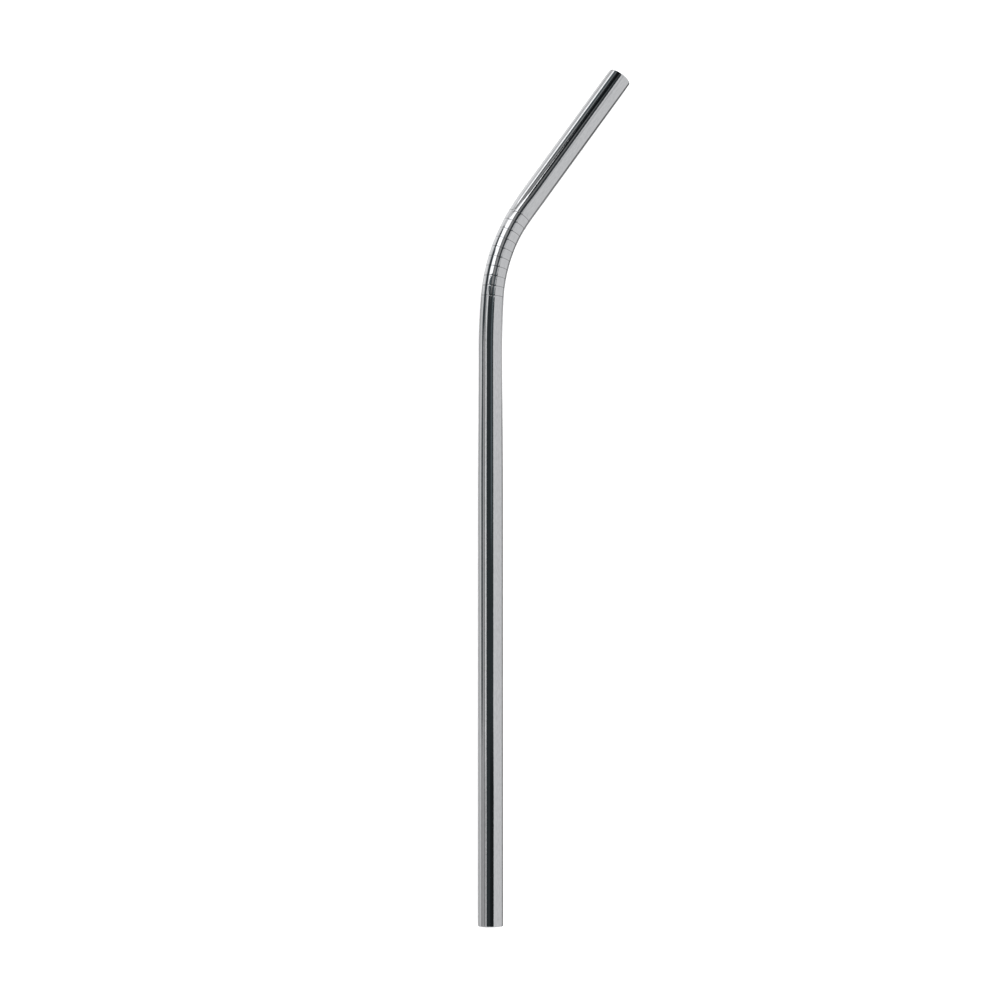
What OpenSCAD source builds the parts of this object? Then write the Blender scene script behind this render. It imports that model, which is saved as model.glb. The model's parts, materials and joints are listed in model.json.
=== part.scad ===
// Bent drinking straw: one drawn steel tube with a long stem, a creased bend and a short sipping arm.
// It lies on its side, as it comes to rest, with the stem along Y and the arm turned towards +X.
// All sizes are millimetres and degrees. The origin is on the table, under the middle of the straw.

/* [Tube] */
// Outside diameter of the tube
outer_d = 6; // [4:0.1:12]
// Thickness of the steel wall
wall = 0.5; // [0.3:0.05:0.8]
// Rounding of the inner and the outer edge of each mouth
lip_r = 0.2; // [0.05:0.01:0.3]

/* [Straight lengths] */
// Straight length of the stem, from its mouth to where the tube starts to curve
stem_l = 137.7; // [40:0.1:260]
// Straight length of the arm, from the end of the curve to its mouth
arm_l = 38.6; // [15:0.1:120]

/* [Bend] */
// Angle of the creased main bend
bend_a = 28.9; // [20:0.1:60]
// Centre-line radius of the main bend
bend_r = 42; // [30:0.5:100]
// Angle of the gentle curve that leads from the stem into the main bend
ease_in_a = 4.1; // [1:0.1:10]
// Centre-line radius of that leading curve
ease_in_r = 183; // [60:1:300]
// Angle of the gentle curve that leads out of the main bend into the arm
ease_out_a = 2.9; // [1:0.1:10]
// Centre-line radius of that closing curve
ease_out_r = 104; // [60:1:300]

/* [Creases] */
// Number of ring creases, spread evenly from the start to the end of the main bend
crease_count = 10; // [2:1:12]
// Width of each crease along the centre line
crease_w = 0.3; // [0.16:0.02:0.4]
// How far each crease is pressed into the tube
crease_depth = 0.05; // [0.02:0.01:0.1]

/* [Hidden] */
$fn = 96;

steel = [0.74, 0.75, 0.76];
outer_r = outer_d / 2;
bore_r = outer_r - wall;
// the two roundings of a mouth share the wall and leave a flat rim between them
lip = min(lip_r, 0.45 * wall);
// how far the pressed ring of a crease runs into the wall on either side of it
crease_grip = 0.4 * crease_w;
crease_step = bend_a / (crease_count - 1);

// The angle that an arc length takes up on a radius.
function angle_of(length, radius) = length / radius * 180 / PI;

// Half a crease, as an angle on each of the three curves that meet one.
half_crease_in = angle_of(crease_w / 2, ease_in_r);
half_crease = angle_of(crease_w / 2, bend_r);
half_crease_out = angle_of(crease_w / 2, ease_out_r);

// Headings in the plan are measured from the stem's own, which is +Y, towards +X.
function ahead(heading) = [sin(heading), cos(heading)];
function inward(heading) = [cos(heading), -sin(heading)];
function arc_end(start, heading, radius, angle) =
    start + radius * (inward(heading) - inward(heading + angle));

// Where the centre line goes, with the stem's mouth at [0, 0].
arm_heading = ease_in_a + bend_a + ease_out_a;
bend_start = arc_end([0, stem_l], 0, ease_in_r, ease_in_a);
bend_end = arc_end(bend_start, ease_in_a, bend_r, bend_a);
arm_start = arc_end(bend_end, ease_in_a + bend_a, ease_out_r, ease_out_a);
arm_mouth = arm_start + arm_l * ahead(arm_heading);

// The plan's far sides are reached by the rounded edge of the arm's mouth.
lip_centre = arm_mouth - lip * ahead(arm_heading);
plan_right = lip_centre[0] + (outer_r - lip) * inward(arm_heading)[0] + lip;
plan_far = lip_centre[1] - (outer_r - lip) * inward(arm_heading)[1] + lip;
plan_middle = [(plan_right - outer_r) / 2, plan_far / 2];

// The wall of a straight length, cut lengthwise, with its mouth at y = length.
module straight_section(length) {
    translate([bore_r, 0])
        square([wall, length - lip]);
    translate([bore_r + lip, length - 2 * lip])
        square([wall - 2 * lip, 2 * lip]);
    translate([bore_r + lip, length - lip])
        circle(r = lip);
    translate([outer_r - lip, length - lip])
        circle(r = lip);
}

// A straight length that runs back from the origin along -Y to a rounded mouth.
module straight_tube(length) {
    rotate([90, 0, 0])
        rotate_extrude()
            straight_section(length);
}

// A curved length from the origin, centred towards +X: ahead for a minus angle, back for a plus.
module curved_tube(radius, angle) {
    translate([radius, 0, 0])
        rotate_extrude(angle = angle, start = 180)
            translate([radius, 0])
                difference() {
                    circle(r = outer_r);
                    circle(r = bore_r);
                }
}

// Moves its children along a curve that starts at the origin, and turns them with it.
module around(radius, angle) {
    translate([radius, 0, 0])
        rotate([0, 0, -angle])
            translate([-radius, 0, 0])
                children();
}

// One crease: a short ring of the same wall, pressed inwards.
module crease() {
    length = crease_w + 2 * crease_grip;
    rotate([90, 0, 0])
        difference() {
            cylinder(r = outer_r - crease_depth, h = length, center = true);
            cylinder(r = bore_r - crease_depth, h = 2 * length, center = true);
        }
}

// The stem with the curve that leads out of it, up to the first crease.
module stem() {
    straight_tube(stem_l);
    curved_tube(ease_in_r, half_crease_in - ease_in_a);
}

// The main bend from its first crease to its last, with a plain length after each but the last.
module creased_bend() {
    for (i = [0 : crease_count - 1])
        around(bend_r, i * crease_step) {
            crease();
            if (i < crease_count - 1)
                around(bend_r, half_crease)
                    curved_tube(bend_r, 2 * half_crease - crease_step);
        }
}

// The arm with the curve that leads into it, from the last crease on.
module arm() {
    curved_tube(ease_out_r, ease_out_a - half_crease_out);
    mirror([0, 1, 0])
        straight_tube(arm_l);
}

module straw() {
    color(steel)
        translate([-plan_middle[0], stem_l - plan_middle[1], outer_r]) {
            stem();
            around(ease_in_r, ease_in_a) {
                creased_bend();
                around(bend_r, bend_a)
                    around(ease_out_r, ease_out_a)
                        arm();
            }
        }
}

straw();
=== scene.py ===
"""Bent steel drinking straw: the creased tube, its polished finish and the studio it lies in."""

import bisect
import json
import math

import bmesh
import bpy
from bpy.props import FloatProperty, FloatVectorProperty, IntProperty, PointerProperty
from bpy.types import Operator, Panel, PropertyGroup
from mathutils import Matrix, Vector


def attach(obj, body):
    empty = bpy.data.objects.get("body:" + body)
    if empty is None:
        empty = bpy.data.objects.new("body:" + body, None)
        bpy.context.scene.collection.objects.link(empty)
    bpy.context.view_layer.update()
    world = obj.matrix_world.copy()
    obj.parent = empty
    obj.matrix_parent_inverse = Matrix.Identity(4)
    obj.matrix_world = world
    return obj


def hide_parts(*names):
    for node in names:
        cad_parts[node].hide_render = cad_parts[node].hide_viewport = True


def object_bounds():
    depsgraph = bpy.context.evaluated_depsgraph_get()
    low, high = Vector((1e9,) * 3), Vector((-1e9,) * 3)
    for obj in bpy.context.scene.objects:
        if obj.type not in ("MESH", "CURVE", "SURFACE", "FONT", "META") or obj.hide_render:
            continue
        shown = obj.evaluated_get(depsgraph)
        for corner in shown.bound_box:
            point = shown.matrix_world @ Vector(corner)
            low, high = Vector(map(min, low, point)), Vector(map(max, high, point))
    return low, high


bl_info = {
    "name": "Bent Steel Straw",
    "version": (1, 0, 0),
    "blender": (4, 5, 0),
    "location": "3D View > Sidebar > Straw",
    "description": "A drinking straw with a creased bend, and the studio it lies in",
    "category": "Add Mesh",
}

# The solid tube gives the place and the section. Lengths are in metres.
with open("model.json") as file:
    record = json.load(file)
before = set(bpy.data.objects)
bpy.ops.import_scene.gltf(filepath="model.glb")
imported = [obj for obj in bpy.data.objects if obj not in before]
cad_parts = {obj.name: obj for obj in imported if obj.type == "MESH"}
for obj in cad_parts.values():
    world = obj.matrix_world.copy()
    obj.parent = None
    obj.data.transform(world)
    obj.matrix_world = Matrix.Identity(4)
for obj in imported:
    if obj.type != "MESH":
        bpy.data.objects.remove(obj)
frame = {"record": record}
CAD_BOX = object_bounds()
MM = 0.001

MOUNTS = {mount["name"]: mount for mount in frame["record"]["mounts"]}
STEM_MOUNT = MOUNTS["stem_outside"]
OUTER_R = STEM_MOUNT["dims"]["r_mm"] * MM
BORE_R = MOUNTS["stem_bore"]["dims"]["r_mm"] * MM
STEM_MOUTH = Vector((STEM_MOUNT["pos_m"][0], CAD_BOX[0].y, STEM_MOUNT["pos_m"][2]))

SECTION_SEGMENTS = 112
LIP_SEGMENTS = 4
# How many lip radii are kept clear of rings at each end.
LIP_CLEAR = 2
# Places nearer to each other than this count as one.
CLOSE = 0.01 * MM
# Distances between rings where the tube is straight, where it is curved, and on the straight
# lengths before and after the curves.
STRAIGHT_STEP = 4.0 * MM
CURVE_STEP = 0.45 * MM
BEFORE_STEP = 5 * CURVE_STEP
AFTER_STEP = 3 * CURVE_STEP
# How long the lengths before and after the curves are.
BEFORE_CURVES = 48 * MM
AFTER_CURVES = 10 * MM
# Where the rings of one crease stand, as shares of its half width from its middle.
CREASE_RINGS = (-1.0, -0.72, -0.45, -0.22, 0.0, 0.22, 0.45, 0.72, 1.0)
# How many half widths about a crease are kept clear of the other rings.
CREASE_CLEAR = 1.3
# How many creases next to the stem are folded more sharply than the others.
FIRST_FOLDS = 3
# How many half widths a fold reaches to each side of its crease.
FOLD_REACH = 1.5
# The tube gets narrower in two steps. Each goes between two distances from the bend's start.
NARROWS_FIRST = (-48 * MM, -12 * MM)
NARROWS_AGAIN = (-8 * MM, 5 * MM)
# The share of the narrowing that the first step takes.
FIRST_NARROWING = 0.62
# The tube widens again from this crease, counted from 0, to this far past the bend's end.
WIDENS_FROM = 6
WIDE_AFTER = 6 * MM
# A turn between two rings that is smaller than this, in radians, is left out.
LEAST_TURN = 1e-9
# The point attribute that keeps where each point was before the tube was bent.
UNBENT = "unbent"
# The point attribute that says how far down in a crease each point is, from 0 to 1, which masks the
# painted crease shade.
CREASED = "creased"


def length_value(name, default, text):
    """A length property, in metres."""
    return FloatProperty(
        name=name, default=default, description=text, subtype="DISTANCE", unit="LENGTH", precision=5
    )


def angle_value(name, degrees, text):
    """An angle property, given in degrees."""
    return FloatProperty(
        name=name, default=math.radians(degrees), description=text, subtype="ANGLE", unit="ROTATION"
    )


def share_value(name, default, text, largest=1.0):
    """A share, from none to the largest."""
    return FloatProperty(
        name=name, default=default, description=text, min=0.0, max=largest, precision=4
    )


def colour_value(name, default, text):
    """A colour property."""
    return FloatVectorProperty(
        name=name, default=default, description=text, subtype="COLOR", size=3, min=0.0, max=1.0
    )


class StrawSizes(PropertyGroup):
    """Sizes of the bent tube."""

    outer_r: length_value("Outer radius", OUTER_R, "Outside radius of the tube")
    wall: length_value("Wall", OUTER_R - BORE_R, "Thickness of the steel wall")
    lip_r: length_value("Lip radius", 0.2 * MM, "Rounding of both edges of each mouth")
    stem_l: length_value("Stem", 137.7 * MM, "Straight length of the stem")
    arm_l: length_value("Arm", 38.6 * MM, "Straight length of the sipping arm")
    lead_in_a: angle_value("Lead-in angle", 4.1, "Angle of the gentle curve out of the stem")
    lead_in_r: length_value("Lead-in radius", 183 * MM, "Radius of the gentle curve out of the stem")
    bend_a: angle_value("Bend angle", 28.9, "Angle of the creased main bend")
    bend_r: length_value("Bend radius", 42 * MM, "Radius of the creased main bend")
    lead_out_a: angle_value("Lead-out angle", 2.9, "Angle of the gentle curve into the arm")
    lead_out_r: length_value("Lead-out radius", 104 * MM, "Radius of the gentle curve into the arm")
    crease_count: IntProperty(
        name="Creases", default=10, min=2, max=20, description="Ring creases in the main bend"
    )
    crease_half: length_value("Crease half width", 0.15 * MM, "From a crease's middle to its edge")
    crease_depth: length_value("Crease depth", 0.009 * MM, "How far a crease is pressed in")
    # Painted shade: how much the steel's colour is darkened down in a crease, standing in for the
    # shade and dark reflections there.
    painted_crease_shade: share_value("Crease shade", 0.5, "How much darker the steel is down in a crease")
    crease_turn: share_value("Turn at creases", 0.12, "Share of the bend taken up at its creases")
    first_turn: share_value("Turn at first creases", 0.7, "The same share at the first creases")
    narrowing: share_value("Narrowing", 0.09, "How much narrower the tube gets in the bend")


class StrawFinish(PropertyGroup):
    """Finish of the polished steel."""

    colour: colour_value("Steel", (0.53, 0.535, 0.548), "Colour of the bare steel")
    roughness: share_value("Roughness", 0.05, "Roughness of the polished surface")
    unevenness: share_value("Unevenness", 0.12, "How much the steel's tone varies")
    line_depth: length_value("Draw lines", 0.0012 * MM, "Depth of the lengthwise draw lines")
    mottle_depth: length_value("Mottling", 0.004 * MM, "Depth of the uneven polish")


class StrawStudio(PropertyGroup):
    """The floor, the light and the camera."""

    floor: colour_value("Floor", (0.96, 0.96, 0.96), "Colour of the floor")
    surround: FloatProperty(
        name="Surround", default=0.92, min=0.0, max=4.0, description="Brightness of the surround"
    )
    lamp: FloatProperty(
        name="Lamp", default=45.0, min=0.0, max=100.0, subtype="POWER", unit="POWER",
        description="Power of the large soft lamp",
    )
    lens: FloatProperty(
        name="Lens", default=98.36, subtype="DISTANCE_CAMERA", description="Focal length"
    )


# The centre line


def spread(low, high, step):
    """Even distances from low to high, no further apart than the step."""
    count = max(1, math.ceil((high - low) / step))
    return [low + (high - low) * number / count for number in range(count + 1)]


def smooth_step(value, low, high):
    """Rises gently from 0 at low to 1 at high."""
    share = min(1.0, max(0.0, (value - low) / (high - low)))
    return share * share * (3 - 2 * share)


def even_step(value, low, high):
    """Rises evenly from 0 at low to 1 at high."""
    return min(1.0, max(0.0, (value - low) / (high - low)))


class CentreLine:
    """The straw's centre line, measured along its length from the stem's mouth."""

    def __init__(self, sizes):
        self.sizes = sizes
        self.bend_start = sizes.stem_l + sizes.lead_in_a * sizes.lead_in_r
        self.bend_end = self.bend_start + sizes.bend_a * sizes.bend_r
        self.arm_start = self.bend_end + sizes.lead_out_a * sizes.lead_out_r
        self.total = self.arm_start + sizes.arm_l
        gaps = sizes.crease_count - 1
        pitch = (self.bend_end - self.bend_start) / gaps
        self.creases = [self.bend_start + number * pitch for number in range(gaps + 1)]
        # the first and the last crease turn the tube half as far as the others
        self.turns = [0.5 / gaps] + [1 / gaps] * (gaps - 1) + [0.5 / gaps]
        # the creases nearest to the stem are the sharpest folds
        self.sharp = [
            sizes.crease_turn + (sizes.first_turn - sizes.crease_turn) * (number < FIRST_FOLDS)
            for number in range(gaps + 1)
        ]

    def heading(self, along):
        """Direction of the centre line at a distance, from the stem's own, towards +X."""
        sizes = self.sizes
        reach = FOLD_REACH * sizes.crease_half
        pitch = self.creases[1] - self.creases[0]
        bent = sum(
            turn * (
                sharp * smooth_step(along, place - reach, place + reach)
                + (1 - sharp) * even_step(along, *self.rolled(place, pitch))
            )
            for turn, sharp, place in zip(self.turns, self.sharp, self.creases)
        )
        return (
            sizes.lead_in_a * even_step(along, sizes.stem_l, self.bend_start)
            + sizes.bend_a * bent
            + sizes.lead_out_a * even_step(along, self.bend_end, self.arm_start)
        )

    def rolled(self, place, pitch):
        """The length about a crease over which the tube is bent evenly."""
        return max(place - pitch / 2, self.bend_start), min(place + pitch / 2, self.bend_end)

    def narrowed(self, along):
        """How much of the full narrowing the tube has at a distance."""
        first, again = (
            smooth_step(along, self.bend_start + low, self.bend_start + high)
            for low, high in (NARROWS_FIRST, NARROWS_AGAIN)
        )
        wide = smooth_step(along, self.creases[WIDENS_FROM], self.bend_end + WIDE_AFTER)
        return (FIRST_NARROWING * first + (1 - FIRST_NARROWING) * again) * (1 - wide)

    def pressed(self, along):
        """How far the nearest crease is pressed in at a distance, from 0 to 1."""
        nearest = min(abs(along - place) for place in self.creases)
        share = min(1.0, nearest / self.sizes.crease_half)
        return 0.5 + 0.5 * math.cos(math.pi * share)

    def ring_places(self):
        """Distances at which the tube gets a ring of points."""
        sizes = self.sizes
        edge = LIP_CLEAR * sizes.lip_r
        before = sizes.stem_l - BEFORE_CURVES
        after = self.arm_start + AFTER_CURVES
        places = spread(edge, before, STRAIGHT_STEP)
        places += spread(before, sizes.stem_l, BEFORE_STEP)
        places += spread(sizes.stem_l, self.arm_start, CURVE_STEP)
        places += spread(self.arm_start, after, AFTER_STEP)
        places += spread(after, self.total - edge, STRAIGHT_STEP)
        clear = CREASE_CLEAR * sizes.crease_half
        places = [
            place for place in places
            if all(abs(place - crease) > clear for crease in self.creases)
        ]
        places += [
            crease + share * sizes.crease_half
            for crease in self.creases
            for share in CREASE_RINGS
        ]
        places = sorted(places)
        apart = [
            place for place, last in zip(places, [0.0] + places[:-1])
            if place - last > CLOSE
        ]
        return [0.0] + apart + [self.total]


# The tube


def draw_skin(bm, line, places):
    """Draws the tube's outer skin straight along +Y, ring by ring."""
    sizes = line.sizes
    upright = Matrix.Rotation(math.radians(90), 4, "X")
    bmesh.ops.create_circle(
        bm, cap_ends=False, radius=sizes.outer_r, segments=SECTION_SEGMENTS, matrix=upright
    )
    edges = bm.edges[:]
    drawn, shrunk = 0.0, 1.0
    for place in places[1:]:
        made = bmesh.ops.extrude_edge_only(bm, edges=edges)["geom"]
        ring = [item for item in made if isinstance(item, bmesh.types.BMVert)]
        edges = [item for item in made if isinstance(item, bmesh.types.BMEdge)]
        bmesh.ops.translate(bm, verts=ring, vec=(0.0, place - drawn, 0.0))
        share = 1 - line.pressed(place) * sizes.crease_depth / sizes.outer_r
        share *= 1 - line.narrowed(place) * sizes.narrowing
        bmesh.ops.scale(bm, verts=ring, vec=(share / shrunk, 1.0, share / shrunk))
        drawn, shrunk = place, share


def thicken(bm, sizes, total):
    """Gives the skin its wall, inwards, and rounds both edges of each mouth."""
    bmesh.ops.recalc_face_normals(bm, faces=bm.faces)
    bmesh.ops.solidify(bm, geom=bm.faces[:], thickness=sizes.wall)
    rims = [
        edge for edge in bm.edges
        if all(vert.co.y < CLOSE for vert in edge.verts)
        or all(vert.co.y > total - CLOSE for vert in edge.verts)
    ]
    around = [
        edge for edge in rims
        if abs(from_axis(edge.verts[0]) - from_axis(edge.verts[1])) < CLOSE
    ]
    bmesh.ops.bevel(
        bm, geom=around, offset=sizes.lip_r, offset_type="OFFSET", segments=LIP_SEGMENTS,
        profile=0.5, affect="EDGES", clamp_overlap=True, material=-1,
    )


def from_axis(vert):
    """A point's distance from the straight tube's axis."""
    return math.hypot(vert.co.x, vert.co.z)


def bend(bm, line, places):
    """Bends the straight tube, from the arm's end back, by one small turn between rings."""
    verts = sorted(bm.verts, key=lambda vert: vert.co.y)
    drawn = [vert.co.y for vert in verts]
    for near, far in reversed(list(zip(places, places[1:]))):
        turn = line.heading(far) - line.heading(near)
        if turn < LEAST_TURN:
            continue
        pivot = (near + far) / 2
        beyond = verts[bisect.bisect(drawn, pivot):]
        bmesh.ops.rotate(
            bm, verts=beyond, cent=(0.0, pivot, 0.0), matrix=Matrix.Rotation(-turn, 3, "Z")
        )


def keep_unbent(bm, line):
    """Keeps where each point is before the bending, for patterns that follow the tube."""
    unbent = bm.verts.layers.float_vector.new(UNBENT)
    # how far down in a crease each point is, the mask of the painted crease shade
    creased = bm.verts.layers.float.new(CREASED)
    for vert in bm.verts:
        vert[unbent] = vert.co
        vert[creased] = line.pressed(vert.co.y)


def piece_from(bm, name, material):
    """A smooth-shaded object from the finished mesh, at the origin."""
    mesh = bpy.data.meshes.new(name)
    bm.to_mesh(mesh)
    bm.free()
    mesh.shade_smooth()
    mesh.materials.append(material)
    piece = bpy.data.objects.new(name, mesh)
    bpy.context.scene.collection.objects.link(piece)
    return piece


# Materials

# How many waves of each pattern fit in a metre, across, along and up.
LINE_SCALE = (3600.0, 14.0, 3600.0)
MOTTLE_SCALE = (2600.0, 1700.0, 2600.0)
GRAIN_SCALE = (3200.0, 900.0, 3200.0)
# How many finer layers the patterns have.
FINE_DETAIL = 2.0
MOTTLE_DETAIL = 1.0
# How much of its brightness the steel keeps where it is seen edge on.
EDGE_TINT = (0.8, 0.8, 0.8)


def node(tree, kind, **values):
    """A new node of one kind, with its properties set."""
    made = tree.nodes.new(kind)
    for key, value in values.items():
        setattr(made, key, value)
    return made


def scaled_noise(tree, source, scale, detail):
    """Noise over the straight tube, with its own scale across and along."""
    place = node(tree, "ShaderNodeMapping")
    place.inputs["Scale"].default_value = scale
    noise = node(tree, "ShaderNodeTexNoise")
    noise.inputs["Scale"].default_value = 1.0
    noise.inputs["Detail"].default_value = detail
    tree.links.new(source.outputs["Vector"], place.inputs["Vector"])
    tree.links.new(place.outputs["Vector"], noise.inputs["Vector"])
    return noise


def toned(colour, share):
    """A colour made lighter or darker, with its alpha."""
    return (*(value * share for value in colour), 1.0)


def steel_material(sizes, finish):
    """Polished steel with lengthwise draw lines, a faintly uneven polish and painted shade that
    darkens its creases.
    """
    material = bpy.data.materials.new("polished_steel")
    material.use_nodes = True
    tree = material.node_tree
    shader = tree.nodes["Principled BSDF"]
    shader.inputs["Metallic"].default_value = 1.0
    shader.inputs["Roughness"].default_value = finish.roughness
    shader.inputs["Specular Tint"].default_value = (*EDGE_TINT, 1.0)
    unbent = node(tree, "ShaderNodeAttribute", attribute_type="GEOMETRY", attribute_name=UNBENT)
    creased = node(tree, "ShaderNodeAttribute", attribute_type="GEOMETRY", attribute_name=CREASED)
    lines = scaled_noise(tree, unbent, LINE_SCALE, FINE_DETAIL)
    mottle = scaled_noise(tree, unbent, MOTTLE_SCALE, MOTTLE_DETAIL)
    grain = scaled_noise(tree, unbent, GRAIN_SCALE, FINE_DETAIL)

    tone = node(tree, "ShaderNodeMix", data_type="RGBA")
    tone.inputs["A"].default_value = toned(finish.colour, 1 - finish.unevenness)
    tone.inputs["B"].default_value = toned(finish.colour, 1 + finish.unevenness)
    # Painted shade: the colour is mixed towards a darker steel down in each crease, by the crease
    # mask.
    shade = node(tree, "ShaderNodeMix", data_type="RGBA")
    shade.inputs["B"].default_value = toned(finish.colour, 1 - sizes.painted_crease_shade)
    tree.links.new(grain.outputs["Fac"], tone.inputs["Factor"])
    tree.links.new(tone.outputs["Result"], shade.inputs["A"])
    tree.links.new(creased.outputs["Fac"], shade.inputs["Factor"])
    tree.links.new(shade.outputs["Result"], shader.inputs["Base Color"])

    line_bump = node(tree, "ShaderNodeBump")
    line_bump.inputs["Distance"].default_value = finish.line_depth
    mottle_bump = node(tree, "ShaderNodeBump")
    mottle_bump.inputs["Distance"].default_value = finish.mottle_depth
    tree.links.new(lines.outputs["Fac"], line_bump.inputs["Height"])
    tree.links.new(mottle.outputs["Fac"], mottle_bump.inputs["Height"])
    tree.links.new(line_bump.outputs["Normal"], mottle_bump.inputs["Normal"])
    tree.links.new(mottle_bump.outputs["Normal"], shader.inputs["Normal"])
    return material


def floor_material(studio):
    """Matt pale floor."""
    material = bpy.data.materials.new("studio_floor")
    material.use_nodes = True
    shader = material.node_tree.nodes["Principled BSDF"]
    shader.inputs["Base Color"].default_value = (*studio.floor, 1.0)
    shader.inputs["Roughness"].default_value = 1.0
    shader.inputs["Specular IOR Level"].default_value = 0.0
    return material


def soft_edges_group():
    """A mask that fades to nothing at the four edges of a card, from its own UV map."""
    group = bpy.data.node_groups.new("soft_edges", "ShaderNodeTree")
    for name in ("Around", "Along"):
        group.interface.new_socket(name, in_out="INPUT", socket_type="NodeSocketFloat")
    group.interface.new_socket("Mask", in_out="OUTPUT", socket_type="NodeSocketFloat")
    given = group.nodes.new("NodeGroupInput")
    result = group.nodes.new("NodeGroupOutput")
    place = group.nodes.new("ShaderNodeUVMap")
    split = group.nodes.new("ShaderNodeSeparateXYZ")
    group.links.new(place.outputs["UV"], split.inputs["Vector"])
    both = node(group, "ShaderNodeMath", operation="MULTIPLY")
    for number, (axis, width) in enumerate((("X", "Around"), ("Y", "Along"))):
        # the distance from the nearer of two opposite edges
        inwards = node(group, "ShaderNodeMath", operation="PINGPONG")
        inwards.inputs[1].default_value = 0.5
        fade = node(group, "ShaderNodeMapRange", interpolation_type="SMOOTHSTEP")
        group.links.new(split.outputs[axis], inwards.inputs[0])
        group.links.new(inwards.outputs[0], fade.inputs["Value"])
        group.links.new(given.outputs[width], fade.inputs["From Max"])
        group.links.new(fade.outputs["Result"], both.inputs[number])
    group.links.new(both.outputs[0], result.inputs["Mask"])
    return group


def card_material(name, brightness, around, along):
    """An evenly lit card whose edges fade over these shares of its size."""
    material = bpy.data.materials.new(name)
    material.use_nodes = True
    tree = material.node_tree
    shader = tree.nodes["Principled BSDF"]
    shader.inputs["Base Color"].default_value = (0.0, 0.0, 0.0, 1.0)
    shader.inputs["Roughness"].default_value = 1.0
    shader.inputs["Specular IOR Level"].default_value = 0.0
    tint = DARK if brightness < DARK_BELOW else PALE
    shader.inputs["Emission Color"].default_value = (*tint, 1.0)
    shader.inputs["Emission Strength"].default_value = brightness
    edges = node(tree, "ShaderNodeGroup")
    edges.node_tree = bpy.data.node_groups.get("soft_edges") or soft_edges_group()
    edges.inputs["Around"].default_value = around
    edges.inputs["Along"].default_value = along
    tree.links.new(edges.outputs["Mask"], shader.inputs["Alpha"])
    return material


# The studio

CARD_R = 0.5
# How much nearer to the stem each card hangs than the one before.
CARD_GAP = 0.5 * MM
# The angle that one column of a card's faces spans, in degrees, and the fewest columns.
CARD_COLUMN = 3.0
LEAST_COLUMNS = 2
# A card's sides fade over this angle, in degrees, and its ends over one of these lengths.
FADE_AROUND = 3.0
SOFT = 0.04
CRISP = 0.01
# A card that is less bright than this has a cool tint, and the others are white.
DARK_BELOW = 0.2
DARK = (0.82, 1.0, 1.06)
PALE = (1.0, 1.0, 1.0)
# Cards that the steel mirrors, on a vault about the stem. Angles go from straight up
# towards +X, distances along +Y from the stem's mouth; a later card hangs before an earlier one.
CARDS = (
    # name, from and to angle, from and to y, brightness, fade in metres
    ("right_low", 110, 150, -0.3, 0.2, 0.4, SOFT),
    ("left_low", -175, -135, -0.6, 1.4, 0.65, SOFT),
    ("left_grey", -115, -90, -0.6, 0.2, 0.45, SOFT),
    ("left_dark", -108, -88, 0.02, 0.3, 0.08, SOFT),
    ("left_mid", -92, -65, -0.6, 0.3, 0.5, SOFT),
    ("left_strip", -75, -60, -0.6, 0.25, 0.3, SOFT),
    ("white_strip", -66, -59, 0.0, 0.3, 1.4, SOFT),
    ("dark_top", -54, 13, -0.6, 2.5, 0.05, SOFT),
    ("dark_near", -20, 16, -0.6, 0.05, 0.02, SOFT),
    ("haze", -14, 3, 0.1, 0.3, 0.15, SOFT),
    ("far_left", -180, -125, 0.25, 0.7, 1.3, SOFT),
    ("far_left_dark", -110, -78, 0.2, 0.6, 0.08, SOFT),
    ("softbox_rim", -64, -40, 0.28, 0.33, 0.15, CRISP),
    ("softbox", -76, -40, 0.32, 0.6, 2.0, CRISP),
    ("softbox_far", -87, -36, 0.45, 0.65, 2.1, SOFT),
    ("softbox_right", -43, -24, 0.52, 0.65, 2.2, SOFT),
    ("grey_top", -37, -14, 0.25, 0.5, 0.4, SOFT),
    ("top_glow", -3, 33, 0.235, 0.3, 0.75, CRISP),
    ("top_grey", -19, 0, 0.37, 0.5, 0.25, SOFT),
    ("far_core", -30, 12, 0.5, 0.9, 0.01, SOFT),
    ("far_top", -93, -40, 0.65, 1.2, 0.4, SOFT),
    ("far_top_dark", -82, -40, 0.8, 1.3, 0.15, SOFT),
    ("far_white", -107, -87, 0.7, 1.2, 2.2, SOFT),
)
# A near card that only the arm and the upper bend mirror, from low on the right.
ARM_CARD = ("right_of_arm", 101, 125, 0.14, 0.22, 0.2, SOFT)
ARM_CARD_R = 0.09
# From the floor's middle to its sides, and how far it lies below the tube.
FLOOR_HALF = 3.0
FLOOR_GAP = 0.02 * MM
LAMP_PLACE = Vector((-0.3, 0.3, 1.5))
LAMP_SIDE = 2.4
# Where the camera stands above the straw, and how it is turned, in radians.
CAMERA_PLACE = Vector((-0.17711, -0.04453, 0.63807))
CAMERA_TURN = (0.06429, -0.25183, -0.0003)
# The width of the camera's picture behind its lens, in millimetres.
SENSOR_WIDTH = 36.0
# The camera sees nothing nearer than this.
NEAREST_SEEN = 0.01


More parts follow.
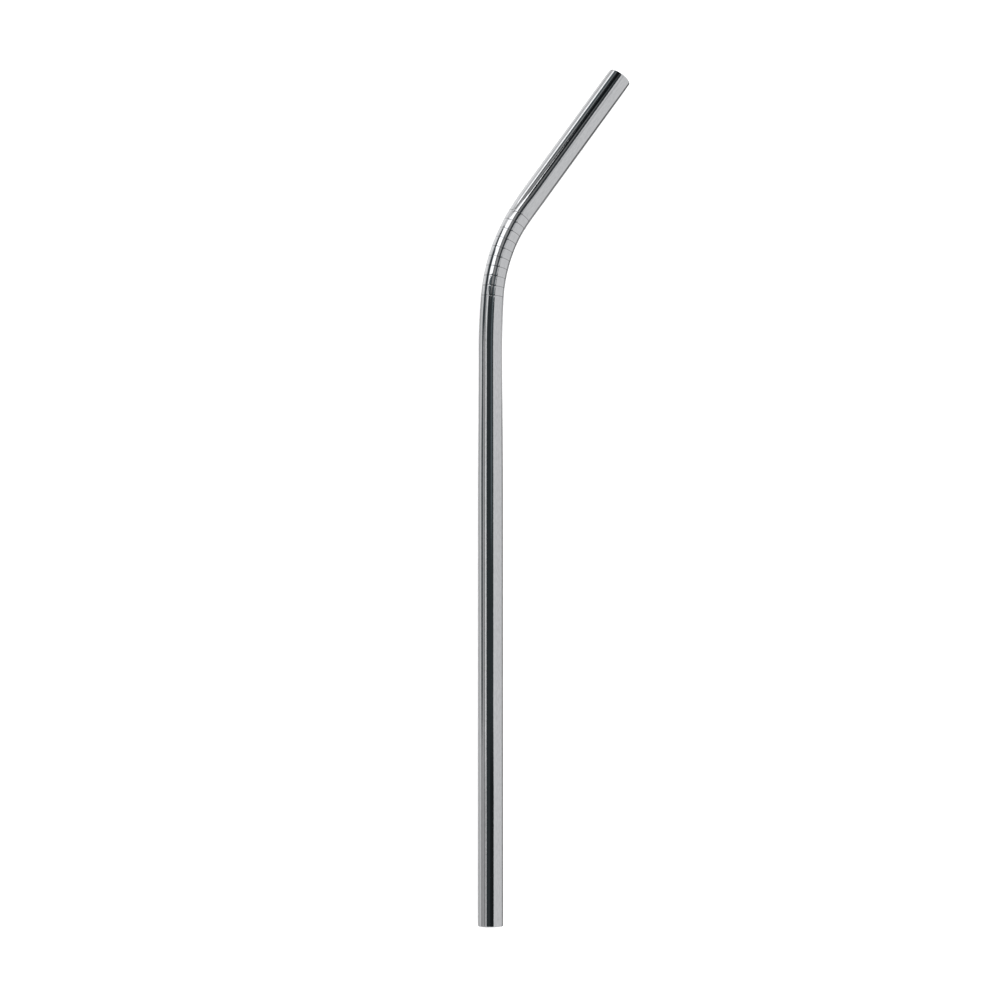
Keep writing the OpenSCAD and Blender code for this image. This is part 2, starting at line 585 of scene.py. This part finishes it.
def hang_card(radius, name, start, end, near, far, brightness, fade_along):
    """Makes one curved card, which only mirror reflections see."""
    bm = bmesh.new()
    columns = max(LEAST_COLUMNS, round((end - start) / CARD_COLUMN))
    bm.loops.layers.uv.new("card")
    bmesh.ops.create_grid(bm, x_segments=columns, y_segments=1, size=1.0, calc_uvs=True)
    middle, half = (near + far) / 2, (far - near) / 2
    bmesh.ops.scale(bm, verts=bm.verts, vec=(1.0, half, 1.0))
    bmesh.ops.translate(bm, verts=bm.verts, vec=(0.0, middle, radius))
    for vert in bm.verts:
        angle = math.radians(start + (end - start) * (vert.co.x + 1) / 2)
        vert.co = Matrix.Rotation(angle, 3, "Y") @ Vector((0.0, vert.co.y, vert.co.z))
    bmesh.ops.translate(bm, verts=bm.verts, vec=STEM_MOUTH)
    fades = FADE_AROUND / (end - start), fade_along / (far - near)
    card = piece_from(bm, "card_" + name, card_material("card_" + name, brightness, *fades))
    card.visible_camera = False
    card.visible_diffuse = False
    card.visible_shadow = False
    card.visible_transmission = False


def lay_floor(studio):
    """Lays the pale floor under the straw."""
    bm = bmesh.new()
    bmesh.ops.create_grid(bm, x_segments=1, y_segments=1, size=FLOOR_HALF)
    bmesh.ops.translate(bm, verts=bm.verts, vec=(0.0, 0.0, CAD_BOX[0].z - FLOOR_GAP))
    floor = piece_from(bm, "studio_floor", floor_material(studio))
    floor.visible_glossy = False


def light_surround(scene, studio):
    """Surrounds the scene with an even pale light."""
    world = bpy.data.worlds.new("studio_surround")
    world.use_nodes = True
    sky = world.node_tree.nodes["Background"]
    sky.inputs["Color"].default_value = (1.0, 1.0, 1.0, 1.0)
    sky.inputs["Strength"].default_value = studio.surround
    scene.world = world


def hang_lamp(scene, studio):
    """Hangs one large soft lamp over the left shoulder of the camera."""
    data = bpy.data.lights.new("soft_lamp", "AREA")
    data.shape = "SQUARE"
    data.size = LAMP_SIDE
    data.energy = studio.lamp
    lamp = bpy.data.objects.new("soft_lamp", data)
    lamp.location = LAMP_PLACE
    lamp.rotation_euler = (-LAMP_PLACE).to_track_quat("-Z", "Y").to_euler()
    lamp.visible_glossy = False
    scene.collection.objects.link(lamp)


def set_camera(scene, studio):
    """Sets the camera above the straw, where the picture is taken from."""
    data = bpy.data.cameras.new("studio_camera")
    data.sensor_width = SENSOR_WIDTH
    data.lens = studio.lens
    data.clip_start = NEAREST_SEEN
    camera = bpy.data.objects.new("studio_camera", data)
    camera.location = CAMERA_PLACE
    camera.rotation_mode = "ZXY"
    camera.rotation_euler = CAMERA_TURN
    scene.collection.objects.link(camera)
    scene.camera = camera


# Operators and panel


class STRAW_OT_build_tube(Operator):
    """Draw the tube, press its creases, bend it and give it the polished finish"""

    bl_idname = "straw.build_tube"
    bl_label = "Build Tube"

    def execute(self, context):
        sizes = context.scene.straw_sizes
        line = CentreLine(sizes)
        places = line.ring_places()
        bm = bmesh.new()
        draw_skin(bm, line, places)
        thicken(bm, sizes, line.total)
        keep_unbent(bm, line)
        bend(bm, line, places)
        bmesh.ops.translate(bm, verts=bm.verts, vec=STEM_MOUTH)
        if bm.calc_volume(signed=True) <= 0:
            raise RuntimeError("the tube's faces point inwards")
        piece = piece_from(bm, "straw_tube", steel_material(sizes, context.scene.straw_finish))
        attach(piece, "root")
        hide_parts("straw")
        return {"FINISHED"}


class STRAW_OT_build_studio(Operator):
    """Lay the floor, hang the lamp and the cards, and set the camera"""

    bl_idname = "straw.build_studio"
    bl_label = "Build Studio"

    def execute(self, context):
        scene = context.scene
        studio = scene.straw_studio
        lay_floor(studio)
        light_surround(scene, studio)
        hang_lamp(scene, studio)
        for number, card in enumerate(CARDS):
            hang_card(CARD_R - CARD_GAP * number, *card)
        hang_card(ARM_CARD_R, *ARM_CARD)
        set_camera(scene, studio)
        scene.view_settings.view_transform = "Standard"
        return {"FINISHED"}


class STRAW_PT_panel(Panel):
    """The straw's values and the buttons that build it"""

    bl_label = "Bent Steel Straw"
    bl_idname = "STRAW_PT_panel"
    bl_space_type = "VIEW_3D"
    bl_region_type = "UI"
    bl_category = "Straw"

    def draw(self, context):
        layout = self.layout
        scene = context.scene
        for values in (scene.straw_sizes, scene.straw_finish, scene.straw_studio):
            box = layout.box()
            for key in values.__annotations__:
                box.prop(values, key)
        layout.operator(STRAW_OT_build_tube.bl_idname)
        layout.operator(STRAW_OT_build_studio.bl_idname)


CLASSES = (
    StrawSizes,
    StrawFinish,
    StrawStudio,
    STRAW_OT_build_tube,
    STRAW_OT_build_studio,
    STRAW_PT_panel,
)


def register():
    for item in CLASSES:
        bpy.utils.register_class(item)
    bpy.types.Scene.straw_sizes = PointerProperty(type=StrawSizes)
    bpy.types.Scene.straw_finish = PointerProperty(type=StrawFinish)
    bpy.types.Scene.straw_studio = PointerProperty(type=StrawStudio)


def unregister():
    del bpy.types.Scene.straw_studio
    del bpy.types.Scene.straw_finish
    del bpy.types.Scene.straw_sizes
    for item in reversed(CLASSES):
        bpy.utils.unregister_class(item)


def main():
    """Builds everything in order."""
    register()
    bpy.ops.straw.build_tube()
    bpy.ops.straw.build_studio()


if __name__ == "__main__":
    main()
